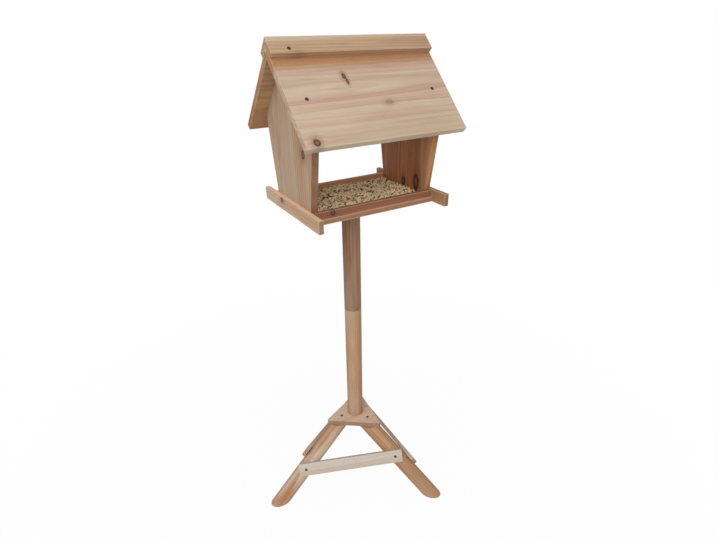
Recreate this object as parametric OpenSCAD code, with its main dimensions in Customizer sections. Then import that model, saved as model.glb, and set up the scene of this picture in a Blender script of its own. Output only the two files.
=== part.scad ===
// Bird feeder: a small pitched roof on two end walls over an open tray,
// carried by a round two-piece pole on three splayed legs.
// Ground is at z = 0, +Z is up, the open front of the house faces -Y.

/* [Roof] */
// Length of the roof panels and of the ridge caps, along the ridge
roof_len = 360; // [330:5:420]
// Slope of each roof panel above level, in degrees
roof_pitch = 45; // [42:1:50]
// Length of each roof panel down its slope
panel_len = 217; // [200:1:245]
// Thickness of the roof panels
panel_t = 13; // [10:0.5:16]
// Width of each ridge cap board down the slope
cap_w = 38; // [32:1:60]
// Thickness of the ridge cap boards
cap_t = 12; // [9:0.5:15]

/* [House] */
// Distance between the outer faces of the two end walls
house_len = 299; // [270:1:310]
// Thickness of the end walls
wall_t = 15; // [12:0.5:20]
// Width of each end wall where it stands on the floor
wall_foot_w = 162; // [140:1:166]
// Width of each end wall at its widest, just under the roof
wall_shoulder_w = 223; // [190:1:250]
// Height of the peak of each end wall above the floor
wall_h = 290.5; // [260.5:1:330.5]
// Distance the house sits in front of the middle of the pole
house_forward = 11; // [0:0.5:14]
// Distance the house sits to the right of the middle of the pole
house_right = 4.5; // [0:0.5:10]

/* [Tray] */
// Width of the floor board from front to back
floor_w = 190; // [188:1:220]
// Thickness of the floor board
floor_t = 11; // [9:0.5:14]
// Length of the side rails from front to back
side_rail_len = 278; // [240:1:320]
// Height of the side rails
side_rail_h = 27.5; // [24:0.5:36]
// Thickness of the side rails
side_rail_t = 10.5; // [8:0.5:14]
// Height of the front and back rails
end_rail_h = 16.5; // [14:0.5:26]
// Thickness of the front and back rails
end_rail_t = 10.5; // [8:0.5:12]

/* [Pole] */
// Diameter of the pole
pole_d = 44; // [36:1:50]
// Length of the upper piece of the pole
pole_upper_len = 270.5; // [220:0.5:320]
// Length of the lower piece of the pole
pole_lower_len = 362; // [280:1:420]
// Side of the square mounting block under the floor
block_w = 80; // [64:1:110]
// Thickness of the mounting block
block_t = 18; // [12:1:24]

/* [Tripod] */
// Height of the top of the tripod plate above the ground
stand_h = 219.5; // [190:0.5:250]
// Side of the triangular tripod plate
plate_side = 160; // [150:1:180]
// Thickness of the tripod plate
plate_t = 15; // [12:0.5:18]
// Amount cut off each corner of the tripod plate
plate_snip = 5; // [3:0.5:9]
// Turn of the tripod plate about the pole, in degrees
plate_turn = -6; // [-8:1:4]
// Diameter of the legs
leg_d = 44; // [36:1:46]
// Distance of the top of each leg from the middle of the pole
leg_top_r = 47.5; // [46:0.5:52]
// Distance of the left leg's foot from the middle of the pole
left_foot_r = 261; // [230:1:290]
// Distance of the front leg's foot from the middle of the pole
front_foot_r = 250; // [230:1:290]
// Distance of the back leg's foot from the middle of the pole
back_foot_r = 256; // [230:1:290]
// Direction in which the left leg's foot points, in degrees from +X
left_foot_turn = 181; // [178:1:184]
// Direction in which the front leg's foot points, in degrees from +X
front_foot_turn = -58; // [-62:1:-56]
// Direction in which the back leg's foot points, in degrees from +X
back_foot_turn = 61; // [58:1:64]
// Direction of the top of the left leg, in degrees from +X
left_top_turn = 176; // [174:1:181]
// Direction of the top of the front leg, in degrees from +X
front_top_turn = -74; // [-76:1:-60]
// Direction of the top of the back leg, in degrees from +X
back_top_turn = 56; // [54:1:61]

/* [Braces] */
// Width of the brace slats
brace_w = 35.5; // [24:0.5:37]
// Thickness of the brace slats
brace_t = 10.5; // [8:0.5:14]
// Height above ground of the lower end of each brace slat
brace_low_z = 88; // [70:1:90]
// Height above ground of the higher end of each brace slat
brace_high_z = 117; // [115:1:130]
// Depth to which each brace slat beds into the round of a leg
brace_bed = 1; // [0.5:0.5:2]
// Length of brace slat past the middle of each leg
brace_over = 20; // [14:1:26]

/* [Screws] */
// Diameter of the screw heads
screw_head_d = 7.5; // [6:0.5:9]
// Diameter of the screw shanks
screw_d = 4; // [3:0.5:4.5]
// Length of the screws
screw_len = 32; // [28:1:34]
// Diameter of the pins in the side rails
pin_d = 1.8; // [1.4:0.2:2.6]
// Length of the pins in the side rails
pin_len = 28; // [24:1:32]
// Distance down the slope from the ridge to the roof screws
roof_screw_run = 116; // [108:1:124]
// Distance down the slope from the ridge to the ridge cap screws
cap_screw_run = 27; // [26.5:0.5:28]
// Distance of the plate screws from the middle of the pole
plate_screw_r = 44; // [40:1:50]

/* [Hidden] */
$fn = 72;
eps = 0.01;
// Free play left between boards that meet
board_gap = 0.1;
// Free play round a screw in its hole
hole_gap = 0.15;
// Free play round a pin in its hole
pin_gap = 0.05;
screw_head_t = 2.4;
slot_l = 4.4;
slot_w = 1;
slot_t = 1;
// The ridge cap screws stop inside the panel, clear of each other
cap_screw_len = cap_t + panel_t - 2;
// The block screws stop inside the block, clear of the pole
block_screw_len = floor_t + block_t - 4;

pole_base_z = stand_h;
pole_joint_z = pole_base_z + pole_lower_len;
block_z = pole_joint_z + pole_upper_len;
floor_z = block_z + block_t;
tray_z = floor_z + floor_t;
wall_peak_z = tray_z + wall_h;
panel_apex_z = wall_peak_z + panel_t / cos(roof_pitch);
apex_z = panel_apex_z + cap_t / cos(roof_pitch);
wall_out = house_len / 2;
shoulder_h = wall_h - wall_shoulder_w / 2 * tan(roof_pitch);

leg_top_z = stand_h - plate_t;
// Half the side of a square that holds all the legs
leg_space = 2 * max(left_foot_r, front_foot_r, back_foot_r);
// Outer face of the brace slats, from the middle line of the legs
brace_face = leg_d / 2 + brace_t - brace_bed;
// The legs go round from left to front to back
leg_feet = [
    [left_foot_r, left_foot_turn],
    [front_foot_r, front_foot_turn],
    [back_foot_r, back_foot_turn]
];
leg_tops = [left_top_turn, front_top_turn, back_top_turn];
LEFT = 0;
FRONT = 1;
BACK = 2;
plate_corners = [180, -60, 60];
foot_reach = -leg_foot(LEFT)[0]
    + leg_d / 2 * sqrt(1 + pow(leg_way(LEFT)[0] / leg_way(LEFT)[2], 2));
// Shift that puts the origin under the middle of the overall box: the left
// foot and the right end of the roof reach furthest along X
origin_x = (foot_reach - roof_len / 2 - house_right) / 2;

function unit(v) = v / norm(v);

function spoke(r, a, z) = [r * cos(a), r * sin(a), z];

// Where the middle line of a leg meets the ground and the plate
function leg_foot(i) = spoke(leg_feet[i][0], leg_feet[i][1], 0);
function leg_top(i) = spoke(leg_top_r, leg_tops[i], leg_top_z);

// Direction of a leg, from foot to top
function leg_way(i) = unit(leg_top(i) - leg_foot(i));

// Point on the middle line of a leg at height z
function leg_at(i, z) =
    leg_foot(i) + (leg_top(i) - leg_foot(i)) * z / leg_top_z;

// Turn of each leg about its own middle line
leg_roll = 37;

// One screw standing head up, the top of its head at z = 0
module screw(long) {
    difference() {
        union() {
            translate([0, 0, -screw_head_t])
                cylinder(d = screw_head_d, h = screw_head_t);
            translate([0, 0, -long])
                cylinder(d = screw_d, h = long);
        }
        translate([-slot_l / 2, -slot_w / 2, -slot_t])
            cube([slot_l, slot_w, slot_t + eps]);
        translate([-slot_w / 2, -slot_l / 2, -slot_t])
            cube([slot_w, slot_l, slot_t + eps]);
    }
}

// The hole one screw sits in, open above the head by the given depth
module screw_hole(long, open) {
    translate([0, 0, -screw_head_t - hole_gap])
        cylinder(d = screw_head_d + 2 * hole_gap, h = screw_head_t + hole_gap + open);
    translate([0, 0, -long - hole_gap])
        cylinder(d = screw_d + 2 * hole_gap, h = long);
}

// Headless panel pin driven in flush, thicker and longer by the given play
module pin(play) {
    translate([0, 0, -pin_len - play])
        cylinder(d = pin_d + 2 * play, h = pin_len + play + (play > 0 ? 1 : 0));
}

// Puts children of the house in place over the pole
module house() {
    translate([origin_x + house_right, -house_forward, 0])
        children();
}

// Puts children of the stand in place round the pole
module stand() {
    translate([origin_x, 0, 0])
        children();
}

// Slab lying on the slope, from one distance to another down the slope
module slope_slab(side, apex, thick, near, far) {
    rise = thick / cos(roof_pitch);
    flip = side < 0 ? 0 : 1;
    mirror([0, flip, 0])
        translate([0, 0, apex])
            rotate([0, 90, 0])
                linear_extrude(height = roof_len, center = true)
                    polygon([
                        [near * sin(roof_pitch), -near * cos(roof_pitch)],
                        [far * sin(roof_pitch), -far * cos(roof_pitch)],
                        [
                            far * sin(roof_pitch) + thick * cos(roof_pitch),
                            -far * cos(roof_pitch) + thick * sin(roof_pitch)
                        ],
                        [
                            near * sin(roof_pitch) + rise,
                            -near * cos(roof_pitch)
                        ]
                    ]);
}

// Roof screw places: side is -1 for the front panel and 1 for the back one
module at_roof_screws(side) {
    run = roof_screw_run;
    for (x = [-1, 1])
        translate([
            x * (wall_out - wall_t / 2),
            side * run * cos(roof_pitch),
            panel_apex_z - run * sin(roof_pitch)
        ])
            rotate([-side * roof_pitch, 0, 0])
                children();
}

// Place of the one screw in each ridge cap: over the left end wall at the
// front, and over the right one at the back
module at_cap_screws(side) {
    run = cap_screw_run;
    translate([
        side * (wall_out - wall_t / 2),
        side * run * cos(roof_pitch),
        apex_z - run * sin(roof_pitch)
    ])
        rotate([-side * roof_pitch, 0, 0])
            children();
}

// Places of the pins through the side rails into the edge of the floor
module at_rail_pins() {
    for (x = [-1, 1], y = [-1, 1])
        translate([
            x * (wall_out + board_gap + side_rail_t),
            y * wall_foot_w * 0.34,
            floor_z + floor_t / 2
        ])
            rotate([0, x * 90, 0])
                children();
}

// Screw places through the floor into the block
module at_block_screws() {
    for (x = [-1, 1], y = [-1, 1])
        translate([x * block_w * 0.34, y * block_w * 0.34, tray_z])
            children();
}

module at_plate_screws() {
    for (a = plate_corners)
        rotate([0, 0, a + plate_turn])
            translate([plate_screw_r, 0, stand_h])
                children();
}

// Frame of a slat lying on the outside of two legs, between two points
module on_legs(a, b, za, zb, along) {
    pa = leg_at(a, za);
    pb = leg_at(b, zb);
    d = unit(pb - pa);
    n = unit(cross(d, leg_way(a) + leg_way(b)));
    w = cross(n, d);
    o = pa + d * along;
    multmatrix([
        [d[0], w[0], n[0], o[0]],
        [d[1], w[1], n[1], o[1]],
        [d[2], w[2], n[2], o[2]],
        [0, 0, 0, 1]
    ])
        children();
}

function brace_span(a, b) =
    norm(leg_at(b, brace_high_z) - leg_at(a, brace_low_z));

// Screw places at both ends of the slat from leg a to leg b
module at_brace_screws(a, b) {
    for (s = [0, brace_span(a, b)])
        on_legs(a, b, brace_low_z, brace_high_z, s)
            translate([0, 0, brace_face])
                children();
}

module roof_panel(side) {
    color("peru")
        house()
            difference() {
                slope_slab(side, panel_apex_z, panel_t, board_gap, panel_len);
                at_roof_screws(side)
                    screw_hole(screw_len, 1);
                at_cap_screws(side)
                    screw_hole(cap_screw_len, 1);
            }
}

module ridge_cap(side) {
    color("burlywood")
        house()
            difference() {
                slope_slab(side, apex_z, cap_t, board_gap, cap_w);
                at_cap_screws(side)
                    screw_hole(cap_screw_len, 1);
            }
}

module roof_panel_front() {
    roof_panel(-1);
}

module roof_panel_back() {
    roof_panel(1);
}

module ridge_cap_front() {
    ridge_cap(-1);
}

module ridge_cap_back() {
    ridge_cap(1);
}

// End wall, wider towards the roof and cut to the roof slope above
module end_wall(x) {
    foot = wall_foot_w / 2;
    wide = wall_shoulder_w / 2;
    color("tan")
        house()
            difference() {
                translate([x * (wall_out - wall_t / 2) - wall_t / 2, 0, tray_z])
                    rotate([90, 0, 90])
                        linear_extrude(height = wall_t)
                            polygon([
                                [-foot, 0],
                                [foot, 0],
                                [wide, shoulder_h - board_gap],
                                [0, wall_h - board_gap],
                                [-wide, shoulder_h - board_gap]
                            ]);
                at_roof_screws(-1)
                    screw_hole(screw_len, 1);
                at_roof_screws(1)
                    screw_hole(screw_len, 1);
            }
}

module end_wall_left() {
    end_wall(-1);
}

module end_wall_right() {
    end_wall(1);
}

module tray_floor() {
    color("tan")
        house()
            difference() {
                translate([-wall_out, -floor_w / 2, floor_z])
                    cube([house_len, floor_w, floor_t]);
                at_rail_pins()
                    pin(pin_gap);
                translate([-house_right, house_forward, 0])
                    at_block_screws()
                        screw_hole(block_screw_len, 1);
            }
}

module side_rail(x) {
    in = wall_out + board_gap;
    color("tan")
        house()
            difference() {
                translate([
                    x > 0 ? in : -in - side_rail_t,
                    -side_rail_len / 2,
                    floor_z
                ])
                    cube([side_rail_t, side_rail_len, side_rail_h]);
                at_rail_pins()
                    pin(pin_gap);
            }
}

module side_rail_left() {
    side_rail(-1);
}

module side_rail_right() {
    side_rail(1);
}

module end_rail(side) {
    color("sienna")
        house()
            translate([
                -wall_out,
                side > 0 ? floor_w / 2 - end_rail_t : -floor_w / 2,
                tray_z
            ])
                cube([house_len, end_rail_t, end_rail_h]);
}

module front_rail() {
    end_rail(-1);
}

module back_rail() {
    end_rail(1);
}

module mounting_block() {
    color("burlywood")
        stand()
            difference() {
                translate([-block_w / 2, -block_w / 2, block_z])
                    cube([block_w, block_w, block_t]);
                at_block_screws()
                    screw_hole(block_screw_len, 1);
            }
}

module pole_upper() {
    color("burlywood")
        stand()
            translate([0, 0, pole_joint_z])
                cylinder(d = pole_d, h = pole_upper_len);
}

module pole_lower() {
    color("peru")
        stand()
            translate([0, 0, pole_base_z])
                cylinder(d = pole_d, h = pole_lower_len);
}

// Triangular plate with its three corners cut off square
module tripod_plate() {
    far = plate_side / sqrt(3) - plate_snip;
    color("burlywood")
        stand()
            difference() {
                translate([0, 0, leg_top_z])
                    rotate([0, 0, plate_turn])
                        linear_extrude(height = plate_t)
                            polygon([
                                for (a = plate_corners, s = [-1, 1])
                                    [
                                        far * cos(a) - s * plate_snip * tan(30) * sin(a),
                                        far * sin(a) + s * plate_snip * tan(30) * cos(a)
                                    ]
                            ]);
                at_plate_screws()
                    screw_hole(screw_len, 1);
            }
}

// Long round pole along the middle line of a leg, thicker by the given play
module leg_pole(i, play) {
    way = leg_way(i);
    translate(leg_foot(i) - way * leg_d)
        rotate([0, acos(way[2]), atan2(way[1], way[0])])
            rotate([0, 0, leg_roll])
                cylinder(d = leg_d + 2 * play, h = leg_top_z / way[2] + 2 * leg_d);
}

// Round leg, cut level at the ground and under the plate
module leg(i) {
    color("peru")
        stand()
            difference() {
                intersection() {
                    leg_pole(i, 0);
                    translate([-leg_space, -leg_space, 0])
                        cube([leg_space * 2, leg_space * 2, leg_top_z]);
                }
                at_plate_screws()
                    screw_hole(screw_len, 1);
                all_brace_screws()
                    screw_hole(screw_len, 1);
            }
}

module leg_left() {
    leg(LEFT);
}

module leg_front() {
    leg(FRONT);
}

module leg_back() {
    leg(BACK);
}

module all_brace_screws() {
    at_brace_screws(LEFT, FRONT)
        children();
    at_brace_screws(FRONT, BACK)
        children();
    at_brace_screws(BACK, LEFT)
        children();
}

// Slat screwed to the outside of two legs, lower at the first leg, and
// hollowed a little where it beds on each of them
module brace(a, b) {
    color("wheat")
        stand()
            difference() {
                on_legs(a, b, brace_low_z, brace_high_z, -brace_over)
                    translate([0, -brace_w / 2, brace_face - brace_t])
                        cube([brace_span(a, b) + 2 * brace_over, brace_w, brace_t]);
                leg_pole(a, board_gap);
                leg_pole(b, board_gap);
                at_brace_screws(a, b)
                    screw_hole(screw_len, 1);
            }
}

module brace_front() {
    brace(LEFT, FRONT);
}

module brace_right() {
    brace(FRONT, BACK);
}

module brace_left() {
    brace(BACK, LEFT);
}

module roof_screws() {
    color("silver")
        house() {
            at_roof_screws(-1)
                screw(screw_len);
            at_roof_screws(1)
                screw(screw_len);
        }
}

module ridge_cap_screws() {
    color("silver")
        house() {
            at_cap_screws(-1)
                screw(cap_screw_len);
            at_cap_screws(1)
                screw(cap_screw_len);
        }
}

module rail_pins() {
    color("silver")
        house()
            at_rail_pins()
                pin(0);
}

module block_screws() {
    color("silver")
        stand()
            at_block_screws()
                screw(block_screw_len);
}

module plate_screws() {
    color("silver")
        stand()
            at_plate_screws()
                screw(screw_len);
}

module brace_screws() {
    color("silver")
        stand()
            all_brace_screws()
                screw(screw_len);
}

roof_panel_front();
roof_panel_back();
ridge_cap_front();
ridge_cap_back();
end_wall_left();
end_wall_right();
tray_floor();
side_rail_left();
side_rail_right();
front_rail();
back_rail();
mounting_block();
pole_upper();
pole_lower();
tripod_plate();
leg_left();
leg_front();
leg_back();
brace_front();
brace_right();
brace_left();
roof_screws();
ridge_cap_screws();
rail_pins();
block_screws();
plate_screws();
brace_screws();
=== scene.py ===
"""A wooden bird feeder on a tripod stand: looks, seed, lamps and camera."""
import math
import random
from collections import namedtuple

import bpy
from mathutils import Matrix, Vector


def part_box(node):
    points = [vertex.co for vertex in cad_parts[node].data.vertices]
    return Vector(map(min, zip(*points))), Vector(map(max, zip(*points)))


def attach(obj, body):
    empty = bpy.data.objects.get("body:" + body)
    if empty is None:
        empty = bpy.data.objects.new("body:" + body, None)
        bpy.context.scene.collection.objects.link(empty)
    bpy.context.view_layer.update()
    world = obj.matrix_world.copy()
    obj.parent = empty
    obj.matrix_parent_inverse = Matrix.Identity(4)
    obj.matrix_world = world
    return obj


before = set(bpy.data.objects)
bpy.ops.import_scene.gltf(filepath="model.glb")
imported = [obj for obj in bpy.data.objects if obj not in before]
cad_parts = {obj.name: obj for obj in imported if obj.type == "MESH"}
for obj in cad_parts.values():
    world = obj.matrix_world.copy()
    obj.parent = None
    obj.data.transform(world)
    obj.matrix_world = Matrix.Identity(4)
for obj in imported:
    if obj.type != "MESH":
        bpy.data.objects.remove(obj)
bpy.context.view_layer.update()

# ---------------------------------------------------------------- measurements
# Lengths are metres; these follow the sizes in the part's source
MM = 0.001
ROOF_PITCH = math.radians(45)
PANEL_THICK = 13 * MM
CAP_THICK = 12 * MM
# Each leg: how far its foot stands from the pole and in which direction, then
# the direction of its top
LEGS = {
    "leg_left": ((261 * MM, 181), 176),
    "leg_front": ((250 * MM, -58), -74),
    "leg_back": ((256 * MM, 61), 56),
}
LEG_TOP_R = 47.5 * MM
LEG_TOP_Z = 204.5 * MM
BRACE_LOW_Z = 88 * MM
BRACE_HIGH_Z = 117 * MM
BRACE_WIDE = 35.5 * MM
BRACE_THICK = 10.5 * MM
BRACE_OVER = 20 * MM
# From the middle line of the legs to the middle of a slat
BRACE_OUT = 26.25 * MM
BRACES = {
    "brace_front": ("leg_left", "leg_front"),
    "brace_right": ("leg_front", "leg_back"),
    "brace_left": ("leg_back", "leg_left"),
}


def box(node):
    low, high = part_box(node)
    return Vector(low), Vector(high)


def middle(node):
    low, high = box(node)
    return (low + high) / 2


POLE = middle("pole_lower")
HOUSE = middle("tray_floor")
LEFT, BACK, UP = Vector((-1, 0, 0)), Vector((0, 1, 0)), Vector((0, 0, 1))
RIGHT = -LEFT


# ---------------------------------------------------------------- shader maths
# Sockets of a Mix node that is set to colours
MIX_FACTOR, MIX_FIRST, MIX_SECOND, MIX_RESULT = 0, 6, 7, 2


class Value:
    """One output socket; arithmetic on it adds Math nodes beside it."""

    def __init__(self, tree, socket):
        self.tree = tree
        self.socket = socket

    def math(self, operation, *others):
        return self.tree.math(operation, self, *others)

    def __add__(self, other):
        return self.math("ADD", other)

    __radd__ = __add__

    def __sub__(self, other):
        return self.math("SUBTRACT", other)

    def __rsub__(self, other):
        return self.tree.math("SUBTRACT", other, self)

    def __mul__(self, other):
        return self.math("MULTIPLY", other)

    __rmul__ = __mul__

    def __truediv__(self, other):
        return self.math("DIVIDE", other)

    def __abs__(self):
        return self.math("ABSOLUTE")


class Nodes:
    """The nodes of a material or of the world, cleared and ready to fill."""

    def __init__(self, owner):
        owner.use_nodes = True
        self.nodes = owner.node_tree.nodes
        self.links = owner.node_tree.links
        self.nodes.clear()

    def node(self, kind, settings=None, sockets=None):
        made = self.nodes.new(kind)
        for key, setting in (settings or {}).items():
            setattr(made, key, setting)
        for key, value in (sockets or {}).items():
            if isinstance(value, Value):
                self.links.new(value.socket, made.inputs[key])
            else:
                made.inputs[key].default_value = value
        return made

    def out(self, kind, settings=None, sockets=None, output=0):
        return Value(self, self.node(kind, settings, sockets).outputs[output])

    def math(self, operation, *values):
        return self.out("ShaderNodeMath", {"operation": operation}, dict(enumerate(values)))

    def dot(self, vector, direction):
        return self.out(
            "ShaderNodeVectorMath",
            {"operation": "DOT_PRODUCT"},
            {0: vector, 1: tuple(direction)},
            "Value",
        )

    def vector(self, x, y, z):
        return self.out("ShaderNodeCombineXYZ", None, {0: x, 1: y, 2: z})

    def object_place(self):
        return self.out("ShaderNodeTexCoord", None, None, "Object")

    def scale(self, vector, factor):
        return self.out(
            "ShaderNodeVectorMath", {"operation": "SCALE"}, {0: vector, "Scale": factor}
        )

    def noise(self, vector, detail=2.0, rough=0.5):
        return self.out(
            "ShaderNodeTexNoise",
            None,
            {"Vector": vector, "Scale": 1.0, "Detail": detail, "Roughness": rough},
            "Fac",
        )

    def ease(self, value, low, high, out_low=0.0, out_high=1.0):
        """Smooth step from out_low at low to out_high at high."""
        return self.out(
            "ShaderNodeMapRange",
            {"interpolation_type": "SMOOTHSTEP"},
            {"Value": value, "From Min": low, "From Max": high, "To Min": out_low,
             "To Max": out_high},
        )

    def mix(self, factor, first, second):
        """Mix two colours."""
        return self.out(
            "ShaderNodeMix",
            {"data_type": "RGBA"},
            {MIX_FACTOR: factor, MIX_FIRST: first, MIX_SECOND: second},
            MIX_RESULT,
        )

    def direct_rays(self):
        """1 where the camera sees a surface straight, mirrored or through glass."""
        rays = self.node("ShaderNodeLightPath").outputs
        camera_rays, mirrored, clear = (
            Value(self, rays[kind])
            for kind in ("Is Camera Ray", "Is Glossy Ray", "Is Transmission Ray")
        )
        return camera_rays.math("MAXIMUM", mirrored).math("MAXIMUM", clear)


class Finish(Nodes):
    """A material and the nodes in it."""

    def __init__(self, name):
        self.material = bpy.data.materials.new(name)
        super().__init__(self.material)

    def finish(self, color, roughness, height, relief, **constants):
        normal = self.out(
            "ShaderNodeBump",
            None,
            {"Strength": 1.0, "Distance": relief, "Height": height},
            "Normal",
        )
        sockets = {"Base Color": color, "Roughness": roughness, "Normal": normal}
        sockets.update({key.replace("_", " "): value for key, value in constants.items()})
        shader = self.out("ShaderNodeBsdfPrincipled", None, sockets)
        self.node("ShaderNodeOutputMaterial", None, {"Surface": shader})
        return self.material


def tone(red, green, blue):
    """Linear colour from the usual 0 to 255 values."""
    return tuple(
        c / 12.92 if c <= 0.04045 else ((c + 0.055) / 1.055) ** 2.4
        for c in (red / 255, green / 255, blue / 255)
    ) + (1.0,)


# ---------------------------------------------------------------- wood
OILED = tone(122, 78, 50)
KNOT_RED = tone(130, 70, 46)
KNOT_RIM = tone(66, 38, 28)
# Pale corners: rubbing of the wood, and a painted highlight standing for sharp edges catching
# light
RUB_AND_HIGHLIGHT_TONE = tone(222, 200, 172)
ASH = tone(172, 164, 150)
BLEACHED = tone(226, 212, 194)
WOOD_RELIEF = 0.5 * MM
WOOD_SHEEN = 0.3
# Where a knot is along and across the grain, from the middle of its piece, its
# radius, its stretch along the grain and its strength
Knot = namedtuple("Knot", "u v size stretch strength")
# How far a knot pushes the grain aside, and how fast that fades outwards
KNOT_BEND, KNOT_BEND_FADE = 0.85, 0.16
KNOT_RAGGED = 0.9
# How far the edge of the heart wood strays with the slow, middle and fine grain
HEART_STRAY = (20 * MM, 30 * MM, 12 * MM)
# Small rings in each broad one
SMALL_RINGS = 3.3
# Corners: how deep the nicks bite and how wide the pale strip from rubbing and painted highlight
# is
NICK_DEPTH, RUBBED_WIDE = 3 * MM, 1.5 * MM


class Wood:
    """Solid fir wood, sawn or turned from a log whose pith runs along the grain.

    The rings are real cylinders round the pith, so faces, edges and ends all
    show the same wood, and each knot bends the grain round itself.
    """

    def __init__(self, name, centre, along, across, half, seed):
        self.f = Finish(name)
        self.along = Vector(along).normalized()
        self.across = Vector(across).normalized()
        self.through = self.along.cross(self.across)
        self.half = half
        self.seed = seed
        place = self.f.out(
            "ShaderNodeVectorMath",
            {"operation": "SUBTRACT"},
            {0: self.f.object_place(), 1: tuple(centre)},
        )
        self.u = self.f.dot(place, self.along)
        self.v = self.f.dot(place, self.across)
        self.w = self.f.dot(place, self.through)
        normal = self.f.out("ShaderNodeNewGeometry", None, None, "True Normal")
        # 1 on the sawn ends, and 1 on the narrow edges
        self.end = self.f.ease(abs(self.f.dot(normal, self.along)), 0.55, 0.8)
        self.edge = self.f.ease(abs(self.f.dot(normal, self.across)), 0.6, 0.85)

    def grain(self, stretch, fine, shift, detail=2.0, rough=0.5):
        """Noise drawn out along the grain, with fine waves to the metre across it."""
        f = self.f
        return f.noise(
            f.vector(
                self.u * (fine / stretch) + (self.seed + shift),
                self.v * fine + shift,
                self.w * fine + shift,
            ),
            detail,
            rough,
        )

    def bend_round_knots(self, knots):
        """Push the grain aside at each knot.

        Returns the bent v and three masks: the core, the halo and the dark rim.
        """
        f = self.f
        v = self.v
        masks = []
        for knot in knots:
            du = (self.u - knot.u) / knot.stretch
            dv = self.v - knot.v
            # distance from the knot's middle, in radii
            away = (du * du + dv * dv).math("SQRT") / knot.size
            v = v - dv * f.math("EXPONENT", away * away * -KNOT_BEND_FADE) * KNOT_BEND
            ragged = self.grain(stretch=3, fine=300, shift=knot.u * 90, detail=3.0, rough=0.6)
            away = away + (ragged - 0.5) * KNOT_RAGGED
            masks.append((
                f.ease(away, 1.05, 0.6, 0.0, 0.8 * knot.strength),
                f.ease(away, 4.0, 0.8, 0.0, 0.5 * knot.strength),
                f.ease(away, 0.4, 0.9, 0.0, knot.strength) * f.ease(away, 1.5, 1.0),
            ))
        if not masks:
            return v, None
        joined = masks[0]
        for other in masks[1:]:
            joined = tuple(a.math("MAXIMUM", b) for a, b in zip(joined, other))
        return v, joined

    def build(self, pale, warm, dark, *, heart=None, pith=(0.0, -0.08), ring=7 * MM,
              lines=0.3, fine=0.14, bands=1.0, stains=0.35, streaks=0.35, ash=0.0,
              ash_tone=ASH, knots=(), ends=0.75, end_tone=OILED, edges=0.0,
              edge_tone=OILED, worn=0.35, rough=0.6, wander=5 * MM):
        """Colour, gloss and relief of the wood; the words are shares from 0 to 1.

        heart is a colour with its edge and the width of that edge, across the
        grain. pith is the middle of the log from the middle of the piece. ring
        is how wide the rings are, and wander how far they stray.
        """
        f = self.f
        v, knot = self.bend_round_knots(knots)
        slow = self.grain(stretch=10, fine=11, shift=1.7, rough=0.55)
        quick = self.grain(stretch=24, fine=60, shift=4.1, rough=0.6)
        band = self.grain(stretch=45, fine=38, shift=9.3)
        broad = self.grain(stretch=14, fine=9, shift=12.9)
        hair = self.grain(stretch=55, fine=420, shift=3.1, rough=0.6)
        fibre = self.grain(stretch=45, fine=1600, shift=2.2, detail=3.0, rough=0.65)

        # growth slows to a dark late band in each ring, and starts again pale
        side_v = v - pith[0]
        side_w = self.w - pith[1]
        reach = (side_v * side_v + side_w * side_w).math("SQRT")
        reach = reach + (slow - 0.5) * (wander * 5) + (quick - 0.5) * (wander * 0.4)
        count = reach / ring + broad * 2.2
        turn = count.math("FRACT")
        late = f.ease(turn, 0.3, 0.9) * f.ease(turn, 1.0, 0.92)
        small = (count * SMALL_RINGS).math("FRACT")
        late_small = f.ease(small, 0.35, 0.9) * f.ease(small, 1.0, 0.9)
        patchy = f.ease(broad + band * 0.5, 0.5, 0.95, 0.35, 1.0)

        ground = f.mix(f.ease(band * 0.6 + broad * 0.4, 0.42, 0.58, 0.0, bands), pale, warm)
        stain = self.grain(stretch=5, fine=16, shift=15.3, detail=3.0, rough=0.65)
        ground = f.mix(f.ease(stain, 0.46, 0.7, 0.0, stains), ground, dark)
        if heart is not None:
            color, at, fade = heart
            ragged = v
            for wave, stray in zip((slow, band, hair), HEART_STRAY):
                ragged = ragged + (wave - 0.5) * stray
            ground = f.mix(f.ease(ragged, at - fade, at + fade), ground, color)
        face = f.mix(late * patchy * lines, ground, dark)
        face = f.mix(late_small * patchy * fine, face, dark)
        face = f.mix(f.ease(hair, 0.5, 0.8, 0.0, streaks), face, dark)
        face = f.mix(f.ease(fibre, 0.42, 0.75, 0.0, 0.3), face, pale)
        if ash:
            dusty = self.grain(stretch=9, fine=22, shift=6.1, detail=3.0, rough=0.6)
            face = f.mix(f.ease(dusty, 0.4, 0.62, 0.0, ash), face, ash_tone)
        if knot is not None:
            core, halo, rim = knot
            face = f.mix(halo, face, OILED)
            face = f.mix(core, face, KNOT_RED)
            face = f.mix(rim, face, KNOT_RIM)
        # Painted shade and painted light by facing: the narrow edge faces take the edge tone,
        # darker on the walls, back roof board, caps and plate, lighter on the top of the left
        # side rail
        if edges:
            face = f.mix(self.edge * edges, face, edge_tone)

        # ends drink more oil than faces, and show each ring as a dark line
        pores = f.noise(f.vector(self.u * 300, self.v * 2400, self.w * 2400), 2.0, 0.6)
        cut = f.mix(f.ease(pores, 0.35, 0.7, 0.1, 0.55), ground, dark)
        cut = f.mix(late * 0.4 + 0.2, cut, end_tone)
        color = f.mix(self.end * ends, face, cut)

        height = late * -0.6 + late_small * -0.3 + fibre * 0.5 + hair * 0.4
        if self.half:
            color = self.pale_corners_rub_and_highlight(color, worn)
        if knot is not None:
            height = height + knot[0] * 0.8 - knot[2] * 0.6
        gloss = late * -0.07 + fibre * 0.14 + (rough - 0.04) + self.end * 0.15
        return f.finish(color, gloss, height, WOOD_RELIEF, Specular_IOR_Level=WOOD_SHEEN)

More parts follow.
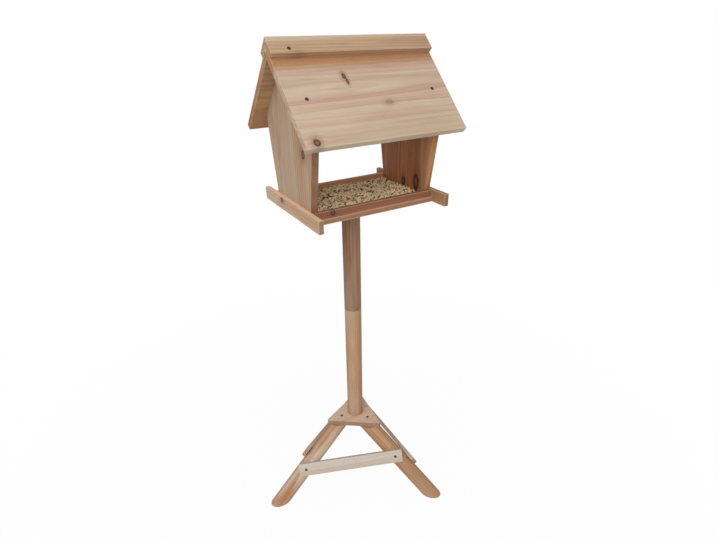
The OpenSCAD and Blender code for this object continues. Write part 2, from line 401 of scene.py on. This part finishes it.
    def pale_corners_rub_and_highlight(self, color, amount):
        """Pale corners, from rubbing and painted highlight: the second nearest pair of sides is
        the nearest edge.
        """
        f = self.f
        a, b, c = (size - abs(value)
                   for size, value in zip(self.half, (self.u, self.v, self.w)))
        edge = a.math("MINIMUM", b).math(
            "MAXIMUM", a.math("MAXIMUM", b).math("MINIMUM", c))
        nicks = f.noise(f.vector(self.u * 90, self.v * 160, self.w * 160), 3.0, 0.65)
        rub_and_highlight_mask = f.ease(edge - (nicks - 0.4) * NICK_DEPTH, RUBBED_WIDE, 0.0)
        return f.mix(rub_and_highlight_mask * amount, color, RUB_AND_HIGHLIGHT_TONE)


def dress(node, material):
    """Put the material in every slot of a CAD node."""
    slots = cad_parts[node].data.materials
    if not slots:
        slots.append(material)
    for index in range(len(slots)):
        slots[index] = material


def board(node, along, across, seed, **looks):
    """Give a board that stands square in the frame its own wood."""
    low, high = box(node)
    size = high - low
    through = Vector(along).cross(across)
    half = tuple(abs(size.dot(axis)) / 2 for axis in (along, across, through))
    dress(node, Wood(node, (low + high) / 2, along, across, half, seed).build(**looks))


def roof_board(node, side, thick, seed, **looks):
    """A board on the front (side -1) or back (side 1) slope, across running down it."""
    low, high = box(node)
    down = Vector((0, side * math.cos(ROOF_PITCH), -math.sin(ROOF_PITCH)))
    long = (high.z - low.z) / math.sin(ROOF_PITCH) - thick
    ridge = Vector(((low.x + high.x) / 2, HOUSE.y, high.z))
    centre = ridge + down * (long / 2) - UP * (thick / math.cos(ROOF_PITCH) / 2)
    half = ((high.x - low.x) / 2, long / 2, thick / 2)
    along = RIGHT if side < 0 else LEFT
    dress(node, Wood(node, centre, along, down, half, seed).build(**looks))


# ---------------------------------------------------------------- roof
ROOF_PALE = tone(208, 189, 163)
ROOF_PINK = tone(206, 172, 156)
ROOF_DARK = tone(156, 110, 74)
HEART = tone(176, 126, 82)
CAP_PALE = tone(204, 180, 152)
CAP_WARM = tone(198, 164, 132)

# On the front board the heart wood band lies just under the ridge cap: partly darker heart wood,
# partly painted shade from the cap
roof_board("roof_panel_front", -1, PANEL_THICK, 3.0, pale=ROOF_PALE, warm=ROOF_PINK,
           dark=ROOF_DARK, heart=(HEART, -64 * MM, -9 * MM), pith=(-0.03, -0.11), ring=9 * MM,
           lines=0.36, fine=0.24, bands=0.8, stains=0.22, ends=0.35, knots=(
               Knot(-48 * MM, -43 * MM, 5 * MM, 0.6, 1.0),
               Knot(-45 * MM, -31 * MM, 5 * MM, 0.42, 0.9),
               Knot(-157 * MM, 91 * MM, 6.2 * MM, 0.85, 0.9),
               Knot(26 * MM, 23 * MM, 4 * MM, 1.8, 0.3),
           ))
roof_board("roof_panel_back", 1, PANEL_THICK, 11.0, pale=tone(196, 164, 124),
           warm=tone(186, 146, 106), dark=tone(138, 92, 58), heart=(HEART, 30 * MM, 12 * MM),
           pith=(0.03, -0.09), ring=8 * MM, lines=0.4,
           edges=0.2, knots=(Knot(60 * MM, -20 * MM, 5 * MM, 1.2, 0.9),))
roof_board("ridge_cap_front", -1, CAP_THICK, 21.0, pale=CAP_PALE, warm=CAP_WARM,
           dark=tone(140, 94, 58), pith=(0.05, -0.05), ring=6 * MM, edges=0.12, lines=0.4,
           knots=(Knot(-126 * MM, 20 * MM, 4 * MM, 1.8, 0.8),))
roof_board("ridge_cap_back", 1, CAP_THICK, 23.0, pale=CAP_PALE, warm=CAP_WARM,
           dark=tone(140, 94, 58), pith=(-0.04, -0.05), ring=6 * MM, edges=0.12, lines=0.4,
           knots=(Knot(70 * MM, -4 * MM, 4 * MM, 1.3, 0.8),))

# ---------------------------------------------------------------- house and tray
WALL_PALE = tone(190, 168, 138)
WALL_WARM = tone(186, 146, 112)
WALL_DARK = tone(126, 82, 54)

# Both end walls have their front and back edge faces darkened by the edge tone: painted shade
board("end_wall_left", UP, BACK, 31.0, pale=WALL_PALE, warm=WALL_WARM, dark=WALL_DARK,
      pith=(0.09, 0.05), ring=9 * MM, lines=0.55, streaks=0.45, ash=0.3, worn=0.1, edges=0.7,
      stains=1.0, knots=(Knot(-19 * MM, -65 * MM, 5.5 * MM, 1.3, 1.0),))
board("end_wall_right", UP, BACK, 37.0, pale=tone(210, 156, 108), warm=tone(194, 122, 74),
      dark=tone(124, 68, 38), pith=(-0.05, -0.07), ring=8 * MM, lines=0.5, streaks=0.4,
      worn=0.1, edges=0.3, stains=0.6, knots=(
          Knot(-128 * MM, -3 * MM, 5.5 * MM, 1.6, 1.0),
          Knot(-119 * MM, -52 * MM, 8 * MM, 1.9, 1.0),
      ))
board("tray_floor", RIGHT, BACK, 41.0, pale=tone(178, 140, 110), warm=tone(168, 122, 92),
      dark=tone(116, 74, 48), pith=(0.02, -0.05), ring=6 * MM)
# The top of the left side rail is lightened by its edge tone: painted light
board("side_rail_left", BACK, UP, 43.0, pale=tone(204, 178, 148), warm=tone(208, 168, 134),
      dark=tone(134, 96, 66), pith=(-0.03, 0.04), ring=5 * MM, ends=1.0, edges=0.9,
      edge_tone=tone(240, 198, 162), end_tone=tone(70, 44, 30),
      knots=(Knot(42 * MM, 8 * MM, 4.5 * MM, 1.3, 0.9),))
board("side_rail_right", BACK, UP, 47.0, pale=tone(180, 140, 106), warm=tone(170, 126, 94),
      dark=tone(122, 82, 56), pith=(-0.03, 0.04), ring=5 * MM, ends=1.0,
      end_tone=tone(104, 64, 38))
# The front rail's brown is its own wood, made darker still as painted shade on its front face
board("front_rail", RIGHT, UP, 53.0, pale=tone(158, 108, 78), warm=tone(148, 92, 64),
      dark=tone(104, 62, 40), pith=(-0.04, 0.05), ring=5 * MM,
      knots=(Knot(-106 * MM, 3 * MM, 4.5 * MM, 1.1, 1.0),))
# The back rail is its own reddish wood, made paler as painted light against the shade under the
# roof
board("back_rail", RIGHT, UP, 59.0, pale=tone(222, 164, 122), warm=tone(208, 144, 104),
      dark=tone(150, 98, 66), pith=(-0.04, 0.05), ring=5 * MM)
board("mounting_block", RIGHT, BACK, 61.0, pale=tone(170, 128, 98), warm=tone(160, 112, 84),
      dark=tone(112, 70, 46), pith=(-0.04, 0.05), ring=5 * MM)

# ---------------------------------------------------------------- stand
def round_pole(node, foot, along, seed, **looks):
    """Give a turned pole its own wood; foot is a point on its middle line."""
    side = along.cross(BACK if abs(along.z) > 0.99 else UP).normalized()
    dress(node, Wood(node, foot, along, side, None, seed).build(**looks))


round_pole("pole_upper", middle("pole_upper"), UP, 67.0, pale=tone(166, 126, 98),
           warm=tone(150, 100, 74), dark=tone(104, 68, 44), pith=(0.011, -0.007),
           ring=3.4 * MM, lines=0.6, streaks=0.7, ash=0.5, stains=0.7, wander=5 * MM)
round_pole("pole_lower", middle("pole_lower"), UP, 71.0, pale=tone(190, 149, 113),
           warm=tone(176, 128, 90), dark=tone(142, 98, 64), pith=(-0.010, 0.006),
           ring=3.4 * MM, lines=0.45, streaks=0.6, ash=0.3, ash_tone=BLEACHED, stains=0.55,
           wander=4 * MM)
# The plate's front and back faces are darkened by the edge tone: painted shade
board("tripod_plate", RIGHT, BACK, 73.0, pale=tone(220, 204, 182), warm=tone(222, 190, 164),
      dark=tone(158, 116, 84), pith=(-0.04, -0.07), ring=7 * MM, stains=0.15, worn=0.0, edges=0.7)


def leg_point(node, height):
    """A point on the middle line of a leg, from its foot to its top under the plate."""
    (foot_r, foot_turn), top_turn = LEGS[node]
    foot, top = (
        POLE.xy.to_3d() + reach * Vector((math.cos(turn), math.sin(turn), 0))
        for reach, turn in (
            (foot_r, math.radians(foot_turn)),
            (LEG_TOP_R, math.radians(top_turn)),
        )
    )
    foot.z, top.z = 0, LEG_TOP_Z
    return foot.lerp(top, height / LEG_TOP_Z)


def leg_way(node):
    """The direction of a leg, from its foot to its top."""
    return (leg_point(node, LEG_TOP_Z) - leg_point(node, 0)).normalized()


for node, seed, bleached in (("leg_left", 79.0, 0.7), ("leg_front", 83.0, 0.2),
                             ("leg_back", 89.0, 0.2)):
    round_pole(node, leg_point(node, 0), leg_way(node), seed, pale=tone(196, 156, 116),
               warm=tone(180, 128, 86), dark=tone(144, 98, 62), pith=(0.010, -0.006),
               ring=3.6 * MM, lines=0.35, streaks=0.4, ash=bleached, ash_tone=BLEACHED,
               wander=4 * MM)

for (node, (low_leg, high_leg)), seed in zip(BRACES.items(), (97.0, 101.0, 103.0)):
    start, end = leg_point(low_leg, BRACE_LOW_Z), leg_point(high_leg, BRACE_HIGH_Z)
    along = (end - start).normalized()
    out = along.cross(leg_way(low_leg) + leg_way(high_leg)).normalized()
    half = ((end - start).length / 2 + BRACE_OVER, BRACE_WIDE / 2, BRACE_THICK / 2)
    centre = (start + end) / 2 + out * BRACE_OUT
    wood = Wood(node, centre, along, out.cross(along), half, seed)
    dress(node, wood.build(pale=tone(212, 202, 188), warm=tone(208, 188, 168),
                           dark=tone(156, 128, 104), pith=(0.03, -0.06), ring=7 * MM,
                           lines=0.25, streaks=0.25, ash=0.2, ends=1.0))

# ---------------------------------------------------------------- screws and pins
STEEL_RELIEF = 0.2 * MM
STEEL_LIGHT, STEEL_DARK = tone(84, 68, 58), tone(50, 40, 34)
FIXINGS = ("roof_screws", "ridge_cap_screws", "rail_pins", "block_screws", "plate_screws",
           "brace_screws")

steel = Finish("screw_steel")
scuff = steel.noise(steel.scale(steel.object_place(), 900.0), 3.0, 0.6)
steel_look = steel.finish(
    steel.mix(steel.ease(scuff, 0.35, 0.7), STEEL_LIGHT, STEEL_DARK),
    steel.ease(scuff, 0.3, 0.7, 0.42, 0.62),
    scuff,
    STEEL_RELIEF,
    Metallic=0.6,
)
for node in FIXINGS:
    dress(node, steel_look)

# ---------------------------------------------------------------- seed on the tray
SEED_DEPTH = 8 * MM
GRAIN_LONG, GRAIN_THICK = 7.0 * MM, 3.5 * MM
GRAIN_SIDES, GRAIN_RINGS = 6, (-0.72, -0.25, 0.25, 0.72)
GRAIN_FLAT = 0.82
GRAIN_SIZES = (0.8, 1.15)
GRAIN_TIP = 0.28
GRAIN_SUNK = 0.6 * MM
GRAIN_RELIEF = 0.2 * MM
GRAIN_SHEEN = 0.35
HUSK = tone(120, 88, 52)
BED_COLUMNS, BED_ROWS = 90, 58
BED_SUNK = 1.2 * MM
BED_RELIEF = 1.2 * MM
# The dark of the bed is painted shade, standing for the shaded gaps between grains
BED_GAP_SHADE, BED_LIGHT = tone(64, 40, 22), tone(190, 146, 92)
RIPPLE_HIGH = 0.9 * MM
dice = random.Random(7)

bed_low = Vector((box("end_wall_left")[1].x, box("front_rail")[1].y, box("tray_floor")[1].z))
bed_high = Vector((box("end_wall_right")[0].x, box("back_rail")[0].y, bed_low.z))
bed_middle = (bed_low + bed_high) / 2
bed_half = (bed_high - bed_low) / 2


def seed_height(x, y):
    """The seed lies in a low uneven heap, thinner along the walls and rails."""
    across = 1 - max(abs(x - bed_middle.x) / bed_half.x, abs(y - bed_middle.y) / bed_half.y) ** 4
    ripple = math.sin(x * 61 + 1.3) * math.sin(y * 83 + 0.4) + 0.5 * math.sin(x * 140 + y * 97)
    return SEED_DEPTH * (0.62 + 0.3 * across) + ripple * RIPPLE_HIGH


def add_piece(name, vertices, faces, material):
    """A new mesh of seed that rides on the feeder."""
    mesh = bpy.data.meshes.new(name)
    mesh.from_pydata(vertices, [], faces)
    mesh.update()
    for polygon in mesh.polygons:
        polygon.use_smooth = True
    piece = bpy.data.objects.new(name, mesh)
    bpy.context.collection.objects.link(piece)
    mesh.materials.append(material)
    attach(piece, "root")
    return piece


def grain_shape(long, thick):
    """A plump grain, pointed at one end, lying along X."""
    points = [Vector((-long / 2, 0, 0))]
    for ring in GRAIN_RINGS:
        radius = thick / 2 * math.sqrt(1 - ring * ring) * (1.08 - 0.2 * ring)
        for side in range(GRAIN_SIDES):
            turn = 2 * math.pi * side / GRAIN_SIDES
            points.append(Vector((ring * long / 2, radius * math.cos(turn),
                                  radius * GRAIN_FLAT * math.sin(turn))))
    points.append(Vector((long / 2, 0, 0)))
    return points


def grain_faces(first):
    """The faces of one grain whose points start at number first."""
    last = first + 1 + len(GRAIN_RINGS) * GRAIN_SIDES
    faces = []
    for side in range(GRAIN_SIDES):
        following = (side + 1) % GRAIN_SIDES
        faces.append((first, first + 1 + following, first + 1 + side))
        for ring in range(len(GRAIN_RINGS) - 1):
            near = first + 1 + ring * GRAIN_SIDES
            far = near + GRAIN_SIDES
            faces.append((near + side, near + following, far + following, far + side))
        near = last - GRAIN_SIDES
        faces.append((near + side, near + following, last))
    return faces


def seed_look(name, light, deep, husk):
    """Each grain has its own tint from light to deep, with flecks of husk."""
    f = Finish(name)
    tint = f.out("ShaderNodeAttribute", {"attribute_name": "tint"}, None, "Fac")
    speck = f.noise(f.scale(f.object_place(), 800.0), 3.0, 0.6)
    color = f.mix(tint, light, deep)
    color = f.mix(f.ease(speck, 0.5, 0.72, 0.0, 0.55), color, husk)
    return f.finish(color, f.ease(speck, 0.3, 0.7, 0.45, 0.7), speck, GRAIN_RELIEF,
                    Specular_IOR_Level=GRAIN_SHEEN)


def scatter(name, count, long, thick, lift, look):
    """Strew grains over the bed, each turned and tipped by chance; lift is in metres."""
    vertices, faces, tints = [], [], []
    margin = long / 2
    for _ in range(count):
        x = dice.uniform(bed_low.x + margin, bed_high.x - margin)
        y = dice.uniform(bed_low.y + margin, bed_high.y - margin)
        size = dice.uniform(*GRAIN_SIZES)
        turn = (Matrix.Rotation(dice.uniform(0, 2 * math.pi), 3, "Z")
                @ Matrix.Rotation(dice.gauss(0, GRAIN_TIP), 3, "Y")
                @ Matrix.Rotation(dice.uniform(0, math.pi), 3, "X"))
        height = seed_height(x, y) + dice.uniform(-GRAIN_SUNK, lift)
        place = Vector((x, y, bed_low.z + height))
        shape = [place + turn @ (point * size) for point in grain_shape(long, thick)]
        faces.extend(grain_faces(len(vertices)))
        vertices.extend(shape)
        tints.extend([dice.random()] * len(shape))
    piece = add_piece(name, vertices, faces, look)
    tint = piece.data.attributes.new("tint", "FLOAT", "POINT")
    tint.data.foreach_set("value", tints)


# The light grain tones are pale grain, pushed near white as painted light against the shade under
# the roof
scatter("wheat_grains", 1500, GRAIN_LONG, GRAIN_THICK, 2.6 * MM,
        seed_look("wheat_look", tone(255, 246, 212), tone(240, 202, 144), HUSK))
scatter("millet_grains", 700, GRAIN_LONG * 0.6, GRAIN_THICK * 0.9, 2.6 * MM,
        seed_look("millet_look", tone(255, 238, 190), tone(230, 186, 120), HUSK))
scatter("husk_grains", 260, GRAIN_LONG * 1.05, GRAIN_THICK, 2.2 * MM,
        seed_look("husk_look", tone(186, 146, 100), tone(128, 92, 58), tone(84, 58, 38)))

# The bed is a dark sheet under the grains: painted shade in the gaps between them
bed_points, bed_faces = [], []
for row in range(BED_ROWS + 1):
    for column in range(BED_COLUMNS + 1):
        x = bed_low.x + (bed_high.x - bed_low.x) * column / BED_COLUMNS
        y = bed_low.y + (bed_high.y - bed_low.y) * row / BED_ROWS
        bed_points.append((x, y, bed_low.z + seed_height(x, y) - BED_SUNK))
        if row and column:
            here = len(bed_points) - 1
            before = here - BED_COLUMNS - 1
            bed_faces.append((before - 1, before, here, here - 1))
crumbs = Finish("seed_bed_look")
crumb = crumbs.out(
    "ShaderNodeTexVoronoi", None, {"Vector": crumbs.object_place(), "Scale": 320.0}, "Distance"
)
# Light in the middle of each crumb and dark at its edges: painted shade in the crevices, and the
# bump height
crumb_relief_and_shade = crumbs.ease(crumb, 0.6, 0.1)
bed_look = crumbs.finish(
    crumbs.mix(crumb_relief_and_shade, BED_GAP_SHADE, BED_LIGHT),
    crumbs.ease(crumb, 0.0, 0.6, 0.6, 0.8),
    crumb_relief_and_shade,
    BED_RELIEF,
)
add_piece("seed_bed", bed_points, bed_faces, bed_look)

# ---------------------------------------------------------------- camera
CAMERA_FROM_HOUSE = Vector((-0.52081, -0.90056, 0.0))
CAMERA_HEIGHT = 1.21243
LOOK_TURN, LOOK_DOWN, LOOK_TILT = 0.528673, 0.510929, -0.016552
PICTURE_WIDE, FOCAL, CENTRE_DROP = 716, 466.3, 22.78
FILM_WIDE = 36.0
NEAREST, FARTHEST = 0.05, 60.0

camera_data = bpy.data.cameras.new("camera")
camera_data.sensor_width = FILM_WIDE
camera_data.lens = FOCAL / PICTURE_WIDE * camera_data.sensor_width
camera_data.shift_y = CENTRE_DROP / PICTURE_WIDE
camera_data.clip_start = NEAREST
camera_data.clip_end = FARTHEST
camera = bpy.data.objects.new("camera", camera_data)
bpy.context.collection.objects.link(camera)
forward = Vector((math.sin(LOOK_TURN) * math.cos(LOOK_DOWN),
                  math.cos(LOOK_TURN) * math.cos(LOOK_DOWN), -math.sin(LOOK_DOWN)))
level = Vector((math.cos(LOOK_TURN), -math.sin(LOOK_TURN), 0))
raised = level.cross(forward)
right = level * math.cos(LOOK_TILT) + raised * math.sin(LOOK_TILT)
above = raised * math.cos(LOOK_TILT) - level * math.sin(LOOK_TILT)
turned = Matrix((right, above, -forward)).transposed().to_4x4()
spot = Vector((HOUSE.x, HOUSE.y, CAMERA_HEIGHT)) + CAMERA_FROM_HOUSE
camera.matrix_world = Matrix.Translation(spot) @ turned
bpy.context.scene.camera = camera

# ---------------------------------------------------------------- light and floor
WHITE = (1, 1, 1, 1)
SOFT_LIGHT = 0.41
AIM = Vector((HOUSE.x, HOUSE.y, 0.8))
# Where each lamp stands, its side in metres and its power in watts
LAMPS = {
    "key": ((-2.4, -1.2, 3.0), 1.5, 43),
    "fill": ((-1.1, -2.6, 2.3), 1.8, 34),
}
FLOOR_WIDE = 24
FLOOR_BELOW = 0.5 * MM
PAPER_DULL, PAPER_BRIGHT = (0.84, 0.84, 0.84, 1), (0.88, 0.88, 0.88, 1)
# How white the floor shows near the feeder, where its shadow lies, and the
# distances between which the rest turns quite white
SHADOW_WHITE, SHADOW_NEAR, SHADOW_FAR = 0.96, 0.2, 1.6

world = bpy.data.worlds.new("studio")
bpy.context.scene.world = world
studio = Nodes(world)
soft = studio.out("ShaderNodeBackground", None, {"Color": WHITE, "Strength": SOFT_LIGHT})
seen = studio.out("ShaderNodeBackground", None, {"Color": WHITE, "Strength": 1.0})
either = studio.out("ShaderNodeMixShader", None, {0: studio.direct_rays(), 1: soft, 2: seen})
studio.node("ShaderNodeOutputWorld", None, {"Surface": either})

for name, (place, size, power) in LAMPS.items():
    lamp = bpy.data.lights.new(name, "AREA")
    lamp.size = size
    lamp.energy = power
    stand = bpy.data.objects.new(name, lamp)
    bpy.context.collection.objects.link(stand)
    stand.location = place
    stand.rotation_euler = (AIM - Vector(place)).to_track_quat("-Z", "Y").to_euler()

bpy.ops.mesh.primitive_plane_add(size=FLOOR_WIDE, location=(0, 0, -FLOOR_BELOW))
floor = bpy.context.object
floor.name = "floor"
paper = Finish("pale_floor")
floor_place = paper.object_place()
floor_color = paper.mix(paper.noise(floor_place, 3.0, 0.6), PAPER_DULL, PAPER_BRIGHT)
matt = paper.out("ShaderNodeBsdfDiffuse", None, {"Color": floor_color})
glow = paper.out("ShaderNodeEmission", None, {"Color": WHITE, "Strength": 1.0})
distance = paper.out(
    "ShaderNodeVectorMath", {"operation": "LENGTH"}, {0: floor_place}, "Value"
)
share = paper.direct_rays() * paper.ease(distance, SHADOW_NEAR, SHADOW_FAR, SHADOW_WHITE, 1)
floor_shader = paper.out("ShaderNodeMixShader", None, {0: share, 1: matt, 2: glow})
paper.node("ShaderNodeOutputMaterial", None, {"Surface": floor_shader})
floor.data.materials.append(paper.material)

bpy.context.scene.view_settings.view_transform = "Standard"
